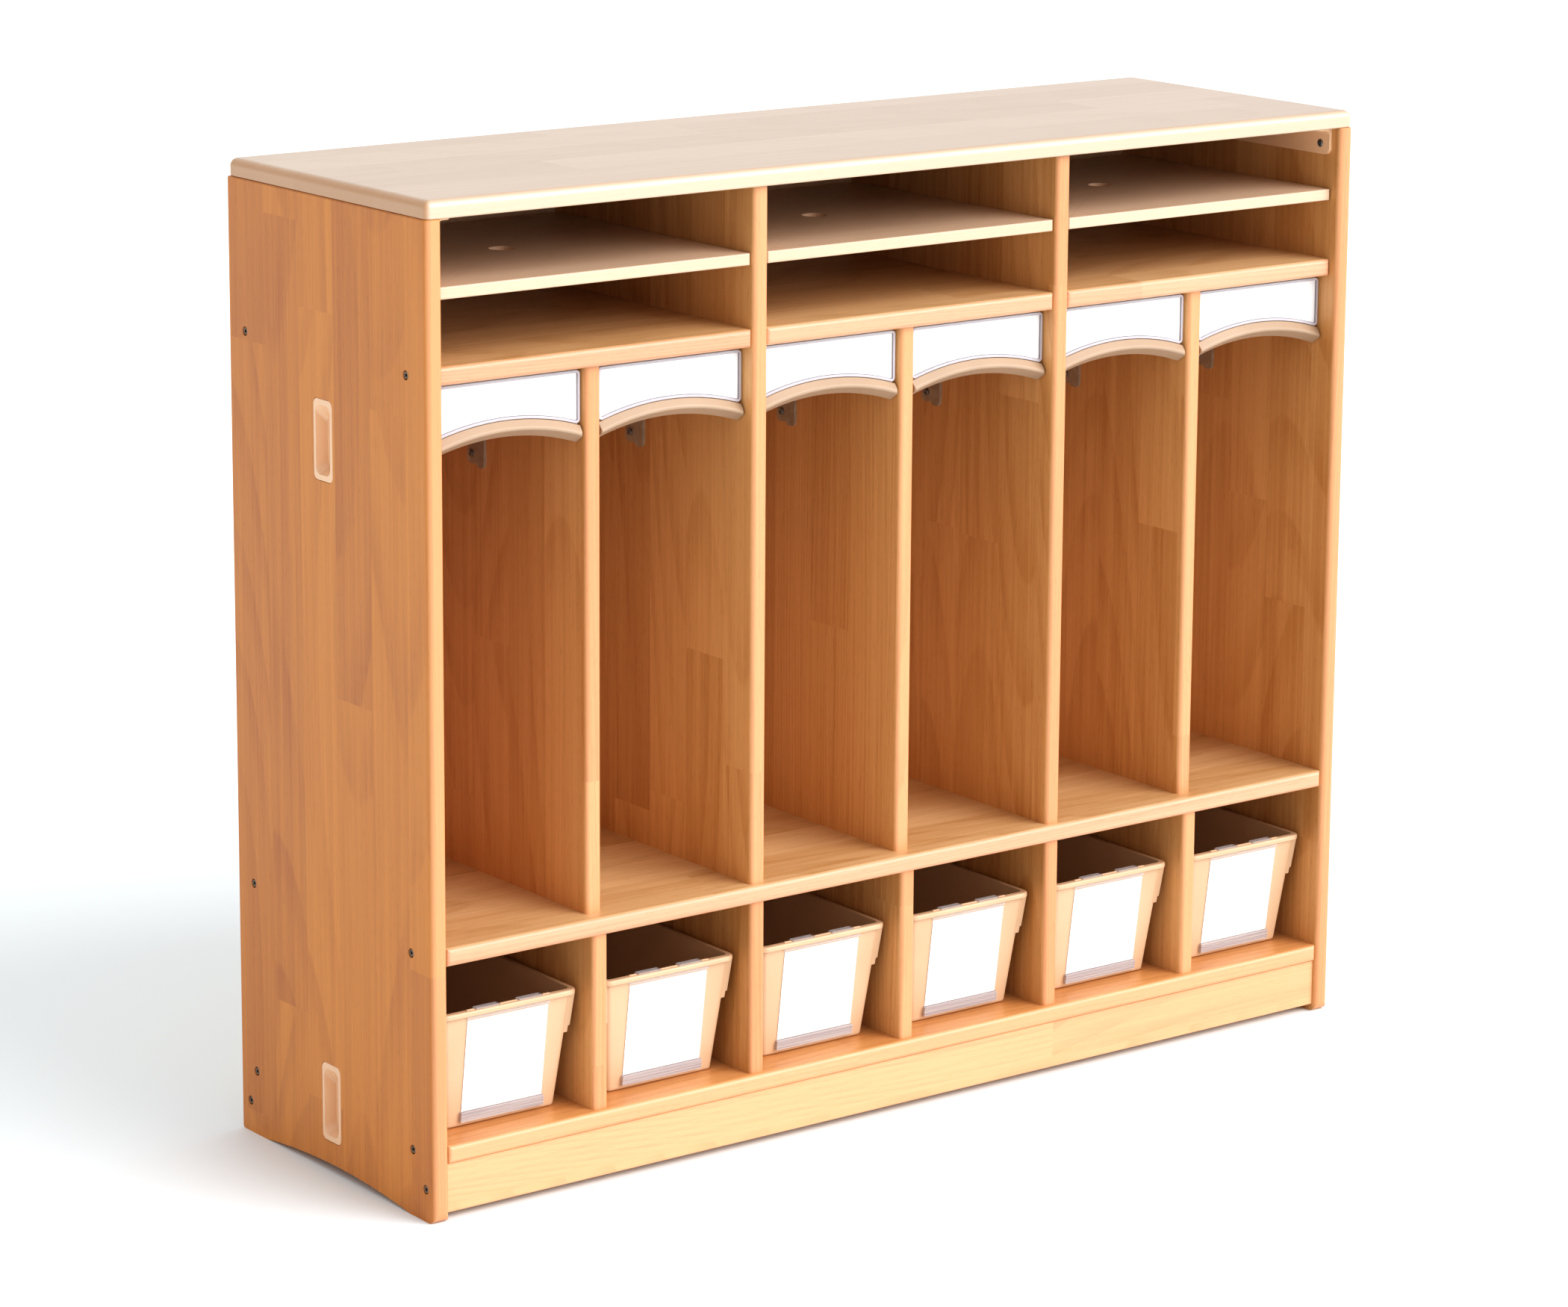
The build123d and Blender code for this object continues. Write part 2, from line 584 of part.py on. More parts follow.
def lug_section(side, end, reach, z):
    """Rectangle of one lug layer at height z, placed against the tub's walls at that height."""
    share = (BIN_TOP - z) / BIN_HEIGHT
    wall_x = BIN_HALF_TOP - BIN_TAPER * share
    wall_y = BIN_LENGTH / 2 - BIN_LEAN * share
    x = side * (wall_x + (reach - LUG_IN) / 2)
    y = BIN_MID_Y + end * (wall_y - LUG_SETBACK - LUG_LENGTH / 2)
    return Pos(x, y, z) * Rectangle(reach + LUG_IN, LUG_LENGTH)


def make_lug(side, end):
    """Two-layer stacking lug under the rim at one corner of the bin; the outer layer ends higher."""
    top = BIN_TOP - BIN_RIM_H + LUG_LAP
    layers = []
    for reach, drop in LUG_LAYERS:
        layer = loft([lug_section(side, end, reach, top - drop), lug_section(side, end, reach, top)])
        outer_face = layer.faces().sort_by(Axis.X)[-1 if side > 0 else 0]
        layers.append(fillet(outer_face.edges(), LUG_ROUND))
    return layers[0] + layers[1]


def make_bin():
    """Tapered tub with a rolled rim, corner lugs, and slots for the label holder's tabs."""
    tub = loft([bin_section(BIN_FLOOR, 0, BIN_CORNER_LOW), bin_section(BIN_TOP - 1, 0, BIN_CORNER_TOP)])
    tub = fillet(tub.faces().sort_by(Axis.Z)[0].edges(), BIN_FOOT_ROUND)
    for side in (-1, 1):
        for end in (-1, 1):
            tub += make_lug(side, end)
    rim = extrude(bin_section(BIN_TOP - BIN_RIM_H, -BIN_RIM_OUT, BIN_CORNER_RIM), BIN_RIM_H)
    rim = fillet(rim.faces().sort_by(Axis.Z)[-1].edges(), BIN_RIM_ROUND)
    rim = fillet(rim.faces().sort_by(Axis.Z)[0].edges(), BIN_RIM_UNDER_ROUND)
    tub += rim
    hollow_floor = bin_section(BIN_FLOOR + BIN_WALL, BIN_WALL, BIN_CORNER_LOW - 2)
    hollow_mouth = bin_section(BIN_TOP + 1, BIN_WALL, BIN_CORNER_TOP - 2)
    hollow = loft([hollow_floor, hollow_mouth])
    tub -= fillet(hollow.faces().sort_by(Axis.Z)[0].edges(), BIN_INSIDE_ROUND)
    slot_out = (LABEL_GAP - TAB_CLEARANCE, LABEL_GAP + LABEL_SHEET + TAB_CLEARANCE)
    for low, high in tab_sides():
        tub -= face_block((low - TAB_CLEARANCE, high + TAB_CLEARANCE), (-0.5, 2 * BIN_RIM_H), slot_out)
    return tub + rim_stops()


def tab_sides():
    """Left and right side of each of the label holder's two tabs."""
    return [(side * TAB_X - TAB_W / 2, side * TAB_X + TAB_W / 2) for side in (-1, 1)]


def rim_stops():
    """Low ridges on the front rim that keep the label holder's tabs in place."""
    tab_outer = TAB_X + TAB_W / 2
    tab_inner = TAB_X - TAB_W / 2
    outer_stop = tab_outer + STOP_GAP + STOP_HALF
    back = BIN_FACE_TOP_Y + BIN_WALL - 0.2
    stops = []
    for x, half in ((-outer_stop, STOP_HALF), (0, tab_inner - STOP_GAP), (outer_stop, STOP_HALF)):
        stop = block((x - half, x + half), (back - STOP_DEPTH, back), (BIN_TOP - 1, BIN_TOP + STOP_RISE))
        stops.append(fillet(stop.edges().group_by(Axis.Z)[-1], STOP_RISE - 0.1))
    return stops


def make_label_holder():
    """Clear sheet that hooks over the rim, with a ribbed strip along its foot that the card stands in."""
    half = LABEL_W / 2
    sheet_out = (LABEL_GAP, LABEL_GAP + LABEL_SHEET)
    sheet = face_block((-half, half), (-LABEL_H, -0.3), sheet_out)
    foot = face_block((-half, half), (-LABEL_H, STRIP_H - LABEL_H), (0.2, STRIP_T))
    groove_out = (STRIP_T - RIB_DEPTH, STRIP_T + 1)
    for rib in range(RIBS):
        low = RIB_START - LABEL_H + rib * RIB_PITCH
        foot -= face_block((STRIP_END - half, half - STRIP_END), (low, low + RIB_WIDTH), groove_out)
    holder = sheet + foot
    crown = (BIN_TOP + TAB_CLEARANCE, BIN_TOP + TAB_CLEARANCE + LABEL_SHEET)
    stem_y = BIN_FACE_TOP_Y - LABEL_GAP - LABEL_SHEET - 0.2
    inside = BIN_FACE_TOP_Y + BIN_WALL + TAB_INSIDE_GAP
    for tab in tab_sides():
        holder += face_block(tab, (-2, BIN_RIM_H + 1.7), sheet_out)
        holder += block(tab, (stem_y, inside + LABEL_SHEET), crown)
        holder += block(tab, (inside, inside + LABEL_SHEET), (BIN_TOP - TAB_DROP, crown[1]))
    return holder


def make_bin_card():
    """Blank card between the bin's face and the clear sheet."""
    half = LABEL_W / 2 - STRIP_END
    return face_block((-half, half), (STRIP_H - LABEL_H + 0.3, -BIN_CARD_TOP), (0.25, 0.25 + BIN_CARD_T))


# ---------------------------------------------------------------- write every sub-part
def build_carcass():
    screw_holes = side_screw_holes()
    back_holes = [small_pilot((x, BACK_PANEL_Y + BACK_PANEL_T, z), (0, -1, 0)) for x, z in BACK_SCREWS]
    left = make_side_panel() - rail_pilots()
    save("left_side_panel", left)
    save("right_side_panel", mirror(left, about=Plane.YZ) - hook_pilots())
    top = make_top_panel()
    for y in BRACKET_TOP_YS:
        for x in (BRACKET_TOP_X, -BRACKET_TOP_X):
            top -= small_pilot((x, y, SIDE_TOP - BRACKET_T), (0, 0, 1))
    save("top_panel", top)
    full = (-INNER, INNER)
    depth = (SHELF_Y, BACK_PANEL_Y)
    for name, z in (("main_shelf", MAIN_SHELF_Z), ("bottom_shelf", BOTTOM_SHELF_Z)):
        save(name, make_shelf(full, depth, (z, z + BOARD)) - screw_holes - back_holes)
    for name, y in (("front_plinth", PLINTH_Y), ("rear_plinth", BACK_PANEL_Y - BOARD)):
        plinth = block(full, (y, y + BOARD), (PLINTH_Z, BOTTOM_SHELF_Z))
        plinth = chamfer(plinth.faces().sort_by(Axis.Y)[0].edges().filter_by(Axis.X), PLINTH_CHAMFER)
        save(name, plinth - screw_holes)
    for bay in range(BAYS):
        across = (bay_left(bay), bay_left(bay) + BAY_WIDTH)
        up = (COAT_SHELF_Z, COAT_SHELF_Z + BOARD)
        shelf = make_shelf(across, (COAT_SHELF_Y, BACK_PANEL_Y), up)
        save(f"coat_shelf_{bay + 1}", shelf - screw_holes - back_holes)
        save(f"upper_shelf_{bay + 1}", make_upper_shelf(bay))
    save("back_panel", make_back_panel())


def build_dividers():
    pilots = rail_pilots() + hook_pilots()
    for number, left in enumerate(DIVIDERS, 1):
        divider = make_divider(left, DIVIDER_Y, (MAIN_SHELF_Z + BOARD, SIDE_TOP))
        divider = cut_pin_holes(divider, left, left + BOARD)
        save(f"divider_{number}", divider - pilots)
    for number, left in enumerate(HALF_DIVIDERS, 1):
        divider = make_divider(left, HALF_DIVIDER_Y, (MAIN_SHELF_Z + BOARD, COAT_SHELF_Z))
        save(f"half_divider_{number}", divider - pilots)
    for number, left in enumerate(sorted(HALF_DIVIDERS + DIVIDERS), 1):
        divider = make_divider(left, BIN_DIVIDER_Y, (BOTTOM_SHELF_Z + BOARD, MAIN_SHELF_Z))
        save(f"bin_divider_{number}", divider)


def build_fittings():
    head_x = -WIDTH / 2 + RECESS_DEPTH - HEAD_H
    side_screws = [screw((head_x, y, z), (1, 0, 0), HEAD_R, HEAD_H, SHANK_R, SIDE_SCREW_LENGTH)
                   for y, z in side_screw_points()]
    save("side_screws", side_screws + [mirror(one, about=Plane.YZ) for one in side_screws])
    cups = [make_cup(z) for z in CUP_ZS]
    save("link_cups", cups + [mirror(one, about=Plane.YZ) for one in cups])
    bracket = make_bracket()
    save("top_bracket_left", bracket)
    save("top_bracket_right", mirror(bracket, about=Plane.YZ))
    fixings = bracket_screws()
    save("top_bracket_screws", fixings + [mirror(one, about=Plane.YZ) for one in fixings])
    pins = [rod(PIN_R, (x - inward * PIN_REACH, y, PIN_Z), (inward, 0, 0), 2 * PIN_REACH)
            for x, inward, y in shelf_pin_sites()]
    save("shelf_pins", pins)
    head_y = BACK_PANEL_Y + BACK_PANEL_T - BACK_HEAD_SINK + SMALL_HEAD_H
    save("back_panel_screws", [small_screw((x, head_y, z), (0, -1, 0)) for x, z in BACK_SCREWS])


def build_places():
    rail, window, card = make_name_rail(), make_name_window(), make_name_card()
    for number, x in enumerate(PLACE_CENTRES, 1):
        save(f"name_rail_{number}", Pos(x, 0, 0) * rail)
    save("name_windows", [Pos(x, 0, 0) * window for x in PLACE_CENTRES])
    save("name_cards", [Pos(x, 0, 0) * card for x in PLACE_CENTRES])
    hook = make_coat_hook(0)
    walls = [left + PLACE_WIDTH for left in PLACES]
    save("coat_hooks", [Pos(x, 0, 0) * hook for x in walls])
    hook_reach = HOOK_PLATE_T + SMALL_HEAD_H
    ear_reach = NAME_HALF - EAR_T - SMALL_HEAD_H
    screws = [small_screw((x - hook_reach, *HOOK_SCREW), (1, 0, 0)) for x in walls]
    screws += [small_screw((x + side * ear_reach, EAR_SCREW_Y, EAR_Z), (side, 0, 0))
               for x in PLACE_CENTRES for side in (-1, 1)]
    save("fitting_screws", screws)


def build_bins():
    tub, holder, card = make_bin(), make_label_holder(), make_bin_card()
    for number, x in enumerate(PLACE_CENTRES, 1):
        save(f"bin_{number}", Pos(x, 0, 0) * tub)
        save(f"bin_label_holder_{number}", Pos(x, 0, 0) * holder)
        save(f"bin_card_{number}", Pos(x, 0, 0) * card)


build_carcass()
build_dividers()
build_fittings()
build_places()
build_bins()
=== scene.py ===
"""A six-place wooden coat and cubby locker with slide-out bins, on a pale studio floor.

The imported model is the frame: its boards and fittings stay as they are and get their finishes here.
Lengths are in metres, +Z is up and -Y is the open front.
"""
from math import radians
import bmesh
import bpy
from mathutils import Matrix, Vector


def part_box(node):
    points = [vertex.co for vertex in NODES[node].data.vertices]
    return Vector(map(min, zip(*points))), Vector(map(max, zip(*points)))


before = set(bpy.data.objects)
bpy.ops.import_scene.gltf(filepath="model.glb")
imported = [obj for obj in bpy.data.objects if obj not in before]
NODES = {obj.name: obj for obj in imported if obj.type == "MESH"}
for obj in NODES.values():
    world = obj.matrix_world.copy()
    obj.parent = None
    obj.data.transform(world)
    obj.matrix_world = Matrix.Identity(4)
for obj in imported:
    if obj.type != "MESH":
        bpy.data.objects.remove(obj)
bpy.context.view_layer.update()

X, Y, Z = 0, 1, 2
PLACES = range(1, 7)
BAYS = range(1, 4)
BIN_DIVIDERS = range(1, 6)


# ---------------------------------------------------------------- sizes read from the frame
def middle(node):
    low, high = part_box(node)
    return (low + high) / 2


PLACE_PITCH = middle("bin_2").x - middle("bin_1").x
BAY_PITCH = middle("coat_shelf_2").x - middle("coat_shelf_1").x


# ---------------------------------------------------------------- node helpers
class Finish:
    """A material being made: its node tree, with a short call for each kind of node it needs."""

    def __init__(self, name, roughness, coat=0.0, coat_roughness=0.2, metallic=0.0, ior=1.5):
        self.material = bpy.data.materials.new(name)
        self.material.use_nodes = True
        self.tree = self.material.node_tree
        self.shader = self.tree.nodes["Principled BSDF"]
        self.shader.inputs["Roughness"].default_value = roughness
        self.shader.inputs["Coat Weight"].default_value = coat
        self.shader.inputs["Coat Roughness"].default_value = coat_roughness
        self.shader.inputs["Metallic"].default_value = metallic
        self.shader.inputs["IOR"].default_value = ior

    def feed(self, socket, value):
        """Sets a socket to a value, or links it to another socket."""
        if isinstance(value, bpy.types.NodeSocket):
            self.tree.links.new(value, socket)
        else:
            socket.default_value = value

    def maths(self, operation, *values, clamp=False):
        node = self.tree.nodes.new("ShaderNodeMath")
        node.operation = operation
        node.use_clamp = clamp
        for socket, value in zip(node.inputs, values):
            self.feed(socket, value)
        return node.outputs[0]

    def position(self):
        """Object coordinates as a vector."""
        return self.tree.nodes.new("ShaderNodeTexCoord").outputs["Object"]

    def split(self, vector):
        node = self.tree.nodes.new("ShaderNodeSeparateXYZ")
        self.tree.links.new(vector, node.inputs[0])
        return list(node.outputs)

    def place(self):
        """Object coordinates as three numbers."""
        return self.split(self.position())

    def facing(self):
        """The surface's own normal as three numbers."""
        return self.split(self.tree.nodes.new("ShaderNodeTexCoord").outputs["Normal"])

    def join(self, x, y, z):
        node = self.tree.nodes.new("ShaderNodeCombineXYZ")
        for socket, value in zip(node.inputs, (x, y, z)):
            self.feed(socket, value)
        return node.outputs[0]

    def stretch(self, grain, rates, offset=None):
        """A vector that varies at one rate along the grain and at another across it."""
        along, across = rates
        u, v, w = grain
        through = self.maths("MULTIPLY", w, across)
        if offset is not None:
            through = self.maths("ADD", through, offset)
        return self.join(self.maths("MULTIPLY", u, along), self.maths("MULTIPLY", v, across), through)

    def noise(self, vector, scale=1.0, detail=2.0, roughness=0.5, distortion=0.0):
        node = self.tree.nodes.new("ShaderNodeTexNoise")
        self.feed(node.inputs["Vector"], vector)
        node.inputs["Scale"].default_value = scale
        node.inputs["Detail"].default_value = detail
        node.inputs["Roughness"].default_value = roughness
        node.inputs["Distortion"].default_value = distortion
        return node.outputs[0]

    def swing(self, noise):
        """Noise measured from its own middle."""
        return self.maths("SUBTRACT", noise, 0.5)

    def chances(self, vector):
        """Three even random numbers for each cell."""
        node = self.tree.nodes.new("ShaderNodeTexWhiteNoise")
        node.noise_dimensions = "3D"
        self.feed(node.inputs["Vector"], vector)
        split = self.tree.nodes.new("ShaderNodeSeparateColor")
        self.tree.links.new(node.outputs["Color"], split.inputs[0])
        return list(split.outputs)

    def step(self, value, low, high, to_low=0.0, to_high=1.0):
        """Goes smoothly from to_low at low to to_high at high."""
        node = self.tree.nodes.new("ShaderNodeMapRange")
        node.interpolation_type = "SMOOTHSTEP"
        for socket, number in zip(node.inputs, (value, low, high, to_low, to_high)):
            self.feed(socket, number)
        return node.outputs[0]

    def mix(self, share, first, second):
        node = self.tree.nodes.new("ShaderNodeMix")
        node.data_type = "RGBA"
        self.feed(node.inputs[0], share)
        self.feed(node.inputs[6], first)
        self.feed(node.inputs[7], second)
        return node.outputs[2]

    def bump(self, height, strength, distance):
        node = self.tree.nodes.new("ShaderNodeBump")
        node.inputs["Strength"].default_value = strength
        node.inputs["Distance"].default_value = distance
        self.feed(node.inputs["Height"], height)
        self.tree.links.new(node.outputs[0], self.shader.inputs["Normal"])

    def colour(self, value):
        self.feed(self.shader.inputs["Base Color"], value)

    def rough(self, value):
        self.feed(self.shader.inputs["Roughness"], value)

    def alpha(self, value):
        self.feed(self.shader.inputs["Alpha"], value)


def rgb(red, green, blue):
    return (red, green, blue, 1.0)


# ---------------------------------------------------------------- lacquered wood
STAVE = 0.066                         # width of one glued stave
STAVE_LENGTH = 0.83
RING_GAP = 0.0034                     # least distance between two growth rings
LOOP_ROUND = 0.004                    # how blunt the tips of the ring loops are
RING_WANDER = 0.006
LEAN_RATE = 2.9                       # radians of the rings' leaning to and fro for each metre
GLUE_LINE = 0.00035
GRAIN_DEPTH = 0.0004

# where the rings' middle lies, inside or beside the stave, in stave widths
HEART_RANGE = 1.6
HEART_LOW = -0.3

# keys that keep the chances of boards and of rows apart; how far staves start and slide along, in metres
BOARD_KEY = (7.3, 1.9)
ROW_KEY = 3.7
START_RANGE = 5.0
SLIDE_RANGE = 9.0

# how fast each pattern varies, for each metre along the grain and across it
WANDER_RATES = (1.6, 4.0)
STRENGTH_RATES = (4.0, 60.0)
FIBRE_RATES = (5.0, 300.0)
PORE_RATES = (60.0, 900.0)
STREAK_RATES = (0.9, 150.0)
CLOUD_RATES = (1.8, 22.0)

# how much each pattern darkens the wood
BASE_SHADE = 0.08
TONE_SHADE = 0.44
RING_SHADE = 0.30
STREAK_SHADE = 0.85
FIBRE_SHADE = 0.75
CLOUD_SHADE = 0.15
PORE_SHADE = 0.24
GLUE_SHADE = 0.25

# a face starts to take its extra colour at the first share of its normal and has it fully at the second:
# painted light on faces turned to the front, end-grain colour on faces turned to the sides
TURNED = (0.2, 0.85)
FRONT_PAINTED_LIGHT_SHARE = 0.45
END_SHARE = 0.7


def cut_staves(finish, u, v, board, stave, length):
    """Tone and slide of each stave, the way across it, the distance from its heart, and the way along it."""
    maths = finish.maths
    shift = finish.chances(finish.join(board, *BOARD_KEY))[0]
    rows = maths("DIVIDE", maths("ADD", v, maths("MULTIPLY", shift, stave)), stave)
    row = maths("FLOOR", rows)
    start = maths("MULTIPLY", finish.chances(finish.join(row, board, ROW_KEY))[1], START_RANGE)
    lengths = maths("DIVIDE", maths("ADD", u, start), length)
    tone, offset, slide = finish.chances(finish.join(row, board, maths("FLOOR", lengths)))
    across_stave = maths("FRACT", rows)
    heart = maths("ADD", maths("MULTIPLY", offset, HEART_RANGE), HEART_LOW)
    from_heart = maths("MULTIPLY", maths("SUBTRACT", across_stave, heart), stave)
    along_stave = maths("ADD", u, maths("MULTIPLY", slide, SLIDE_RANGE))
    return tone, slide, across_stave, from_heart, along_stave


def growth_rings(finish, grain, from_heart, board, slide, slope):
    """Dark late wood: nested loops drawn out along the grain, stronger in some places than in others."""
    maths = finish.maths
    u, _, w = grain
    wander = finish.noise(finish.stretch(grain, WANDER_RATES, board), detail=1.0)
    lean = maths("MULTIPLY", maths("SINE", maths("MULTIPLY", u, LEAN_RATE)), slope)
    depth = maths("ADD", w, LOOP_ROUND)
    squares = maths("ADD", maths("MULTIPLY", from_heart, from_heart), maths("MULTIPLY", depth, depth))
    reach = maths("ADD", maths("SQRT", squares), lean)
    reach = maths("ADD", reach, maths("MULTIPLY", finish.swing(wander), RING_WANDER))
    gap = maths("ADD", RING_GAP, maths("MULTIPLY", slide, RING_GAP))
    rings = maths("FRACT", maths("DIVIDE", reach, gap))
    late = maths("MULTIPLY", finish.step(rings, 0.35, 0.92), finish.step(rings, 1.0, 0.92))
    strength = finish.noise(finish.stretch(grain, STRENGTH_RATES), detail=1.0)
    return maths("MULTIPLY", late, finish.step(strength, 0.3, 0.7, 0.35, 1.0))


def wood(name, pale, deep, along, across, seed, stave=STAVE, length=STAVE_LENGTH, board_gap=None,
         figure=1.0, contrast=1.0, slope=0.012, roughness=0.38, coat=0.10, front=None, end=None):
    """Edge-glued boards under satin lacquer: staves of differing tone, each with rings, fibres and pores."""
    finish = Finish(name, roughness, coat, 0.16)
    maths = finish.maths
    place = finish.place()
    u, v, w = place[along], place[across], place[X + Y + Z - along - across]
    board = seed
    if board_gap:
        board = maths("ADD", maths("ROUND", maths("DIVIDE", place[X], board_gap)), seed)
    tone, slide, across_stave, from_heart, along_stave = cut_staves(finish, u, v, board, stave, length)
    grain = (along_stave, v, w)

    late = growth_rings(finish, grain, from_heart, board, slide, slope)
    fibre = finish.noise(finish.stretch(grain, FIBRE_RATES), detail=4.0, roughness=0.7)
    pores = finish.step(finish.noise(finish.stretch(grain, PORE_RATES), detail=1.0), 0.58, 0.70)
    streak = finish.noise(finish.stretch(grain, STREAK_RATES), detail=3.0, roughness=0.6)
    cloud = finish.noise(finish.stretch(grain, CLOUD_RATES), detail=2.0)

    patterns = (
        (tone, TONE_SHADE * contrast),
        (late, RING_SHADE * figure),
        (finish.swing(streak), STREAK_SHADE * figure),
        (finish.swing(fibre), FIBRE_SHADE * figure),
        (finish.swing(cloud), CLOUD_SHADE * contrast),
    )
    shade = BASE_SHADE
    for pattern, share in patterns:
        shade = maths("ADD", shade, maths("MULTIPLY", pattern, share))
    shade = maths("ADD", shade, maths("MULTIPLY", pores, PORE_SHADE), clamp=True)
    edge = maths("MULTIPLY", maths("MINIMUM", across_stave, maths("SUBTRACT", 1.0, across_stave)), stave)
    glue = finish.step(edge, GLUE_LINE, 0.0)
    shade = maths("ADD", shade, maths("MULTIPLY", glue, GLUE_SHADE), clamp=True)

    colour = finish.mix(shade, pale, deep)
    # painted light: faces turned to the front take a tint that stands in for the key light falling on them
    if front:
        ahead = maths("MULTIPLY", finish.facing()[Y], -1.0)
        colour = finish.mix(finish.step(ahead, *TURNED, 0.0, FRONT_PAINTED_LIGHT_SHARE), colour, front)
    if end:
        aside = maths("ABSOLUTE", finish.facing()[X])
        colour = finish.mix(finish.step(aside, *TURNED, 0.0, END_SHARE), colour, end)
    finish.colour(colour)
    finish.rough(maths("ADD", roughness - 0.05, maths("MULTIPLY", fibre, 0.12)))
    relief = maths("ADD", maths("MULTIPLY", fibre, 0.6), maths("MULTIPLY", pores, -0.5))
    finish.bump(relief, 0.12, GRAIN_DEPTH)
    return finish


# painted shade: the left side panel's pale and deep colours are darker and more saturated than the honey of
# the other uprights, standing in for the shade on the side turned away from the key light
SIDE_PAINTED_SHADE_PALE = rgb(0.63, 0.225, 0.024)
SIDE_PAINTED_SHADE_DEEP = rgb(0.40, 0.108, 0.008)
# painted light: in each set below, the colour after the deep one tints the faces turned to the front,
# standing in for the key light on them
SIDE_FRONT_PAINTED_LIGHT = rgb(0.75, 0.413, 0.25)
HONEY = rgb(0.72, 0.395, 0.160)
HONEY_DEEP = rgb(0.48, 0.205, 0.055)
HONEY_FRONT_PAINTED_LIGHT = rgb(0.70, 0.275, 0.150)
SHELF_PALE = rgb(0.74, 0.475, 0.250)
SHELF_DEEP = rgb(0.50, 0.255, 0.090)
SHELF_FRONT_PAINTED_LIGHT = rgb(0.75, 0.29, 0.22)
LOW_SHELF_PALE = rgb(0.75, 0.37, 0.15)
LOW_SHELF_DEEP = rgb(0.51, 0.20, 0.055)
LOW_SHELF_FRONT_PAINTED_LIGHT = rgb(0.76, 0.44, 0.27)
TOP_PALE = rgb(0.51, 0.355, 0.24)
TOP_DEEP = rgb(0.39, 0.245, 0.14)
TOP_FRONT_PAINTED_LIGHT = rgb(0.80, 0.62, 0.47)
TOP_END = rgb(0.55, 0.28, 0.125)
PLY_PALE = rgb(0.70, 0.50, 0.355)
PLY_DEEP = rgb(0.59, 0.39, 0.255)
BACK_PALE = rgb(0.80, 0.58, 0.39)
BACK_DEEP = rgb(0.70, 0.46, 0.28)
DIAGONAL_MARK = rgb(0.30, 0.22, 0.17)

# a diagonal mark fades out from the second half width to the first, and never covers more than its share
DIAGONAL_MARK_HALF = (0.0008, 0.0002)
DIAGONAL_MARK_SHARE = 0.28


# the left side panel: a darker, more saturated copy of the honey wood, painted shade for the side away from
# the key light
def side_wood_painted_shade():
    return wood("honey_wood_side_painted_shade", SIDE_PAINTED_SHADE_PALE, SIDE_PAINTED_SHADE_DEEP, Z, Y, 11.0, front=SIDE_FRONT_PAINTED_LIGHT)


def upright_wood(name, seed):
    return wood(name, HONEY, HONEY_DEEP, Z, Y, seed, board_gap=PLACE_PITCH, front=HONEY_FRONT_PAINTED_LIGHT)


def shelf_wood(name, seed, **more):
    return wood(name, SHELF_PALE, SHELF_DEEP, X, Y, seed, front=SHELF_FRONT_PAINTED_LIGHT, **more)


def low_shelf_wood():
    return wood("honey_wood_bottom_shelf", LOW_SHELF_PALE, LOW_SHELF_DEEP, X, Y, 8.0, front=LOW_SHELF_FRONT_PAINTED_LIGHT)


def plinth_wood():
    """One wide board with a bolder figure."""
    return wood("honey_wood_plinth", LOW_SHELF_PALE, LOW_SHELF_DEEP, X, Z, 4.0, stave=0.2, length=1.9,
                figure=1.3, contrast=0.8, slope=0.03, front=LOW_SHELF_FRONT_PAINTED_LIGHT)


def top_wood():
    """The top is glossier and less yellow; its front edge takes a paler painted light tint, and its two ends
    are browner end grain.
    """
    return wood("pale_wood_top", TOP_PALE, TOP_DEEP, X, Y, 23.0, stave=0.075, length=0.9, figure=0.55,
                contrast=0.8, roughness=0.33, coat=0.5, front=TOP_FRONT_PAINTED_LIGHT, end=TOP_END)


def shelf_ply():
    """Pale loose shelf, with two faint dark lines along its diagonals that cross at the middle of its finger
    hole.
    """
    finish = wood("pale_shelf", PLY_PALE, PLY_DEEP, X, Y, 31.0, stave=0.12, length=1.4, figure=0.5,
                  contrast=0.5, board_gap=BAY_PITCH)
    maths = finish.maths
    x, y, _ = finish.place()
    low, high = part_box("upper_shelf_2")
    bay = maths("ROUND", maths("DIVIDE", x, BAY_PITCH))
    bay_x = maths("SUBTRACT", x, maths("MULTIPLY", bay, BAY_PITCH))
    from_middle = maths("SUBTRACT", y, (low.y + high.y) / 2)
    slant = (high.y - low.y) / (high.x - low.x)
    rise = maths("MULTIPLY", maths("ABSOLUTE", bay_x), slant)
    gap = maths("ABSOLUTE", maths("SUBTRACT", maths("ABSOLUTE", from_middle), rise))
    diagonal_mark = finish.step(gap, *DIAGONAL_MARK_HALF, 0.0, DIAGONAL_MARK_SHARE)
    base = finish.shader.inputs["Base Color"].links[0].from_socket
    finish.colour(finish.mix(diagonal_mark, base, DIAGONAL_MARK))
    return finish


def back_ply():
    return wood("back_board", BACK_PALE, BACK_DEEP, Z, X, 71.0, stave=0.4, length=2.5,
                figure=0.7, contrast=0.6)


# ---------------------------------------------------------------- plastics, card and metal
def moulded(name, pale, deep, roughness=0.42, coat=0.0):
    """Moulded plastic: a fine even texture, slight flow marks, and a surface that wears a little shinier."""
    finish = Finish(name, roughness, coat)
    position = finish.position()
    flow = finish.noise(position, scale=9.0, detail=3.0, distortion=0.8)
    fine = finish.noise(position, scale=900.0, detail=2.0)
    finish.colour(finish.mix(finish.step(flow, 0.3, 0.7), pale, deep))
    finish.rough(finish.maths("ADD", roughness - 0.08, finish.maths("MULTIPLY", flow, 0.16)))
    finish.bump(fine, 0.06, 0.0002)
    return finish


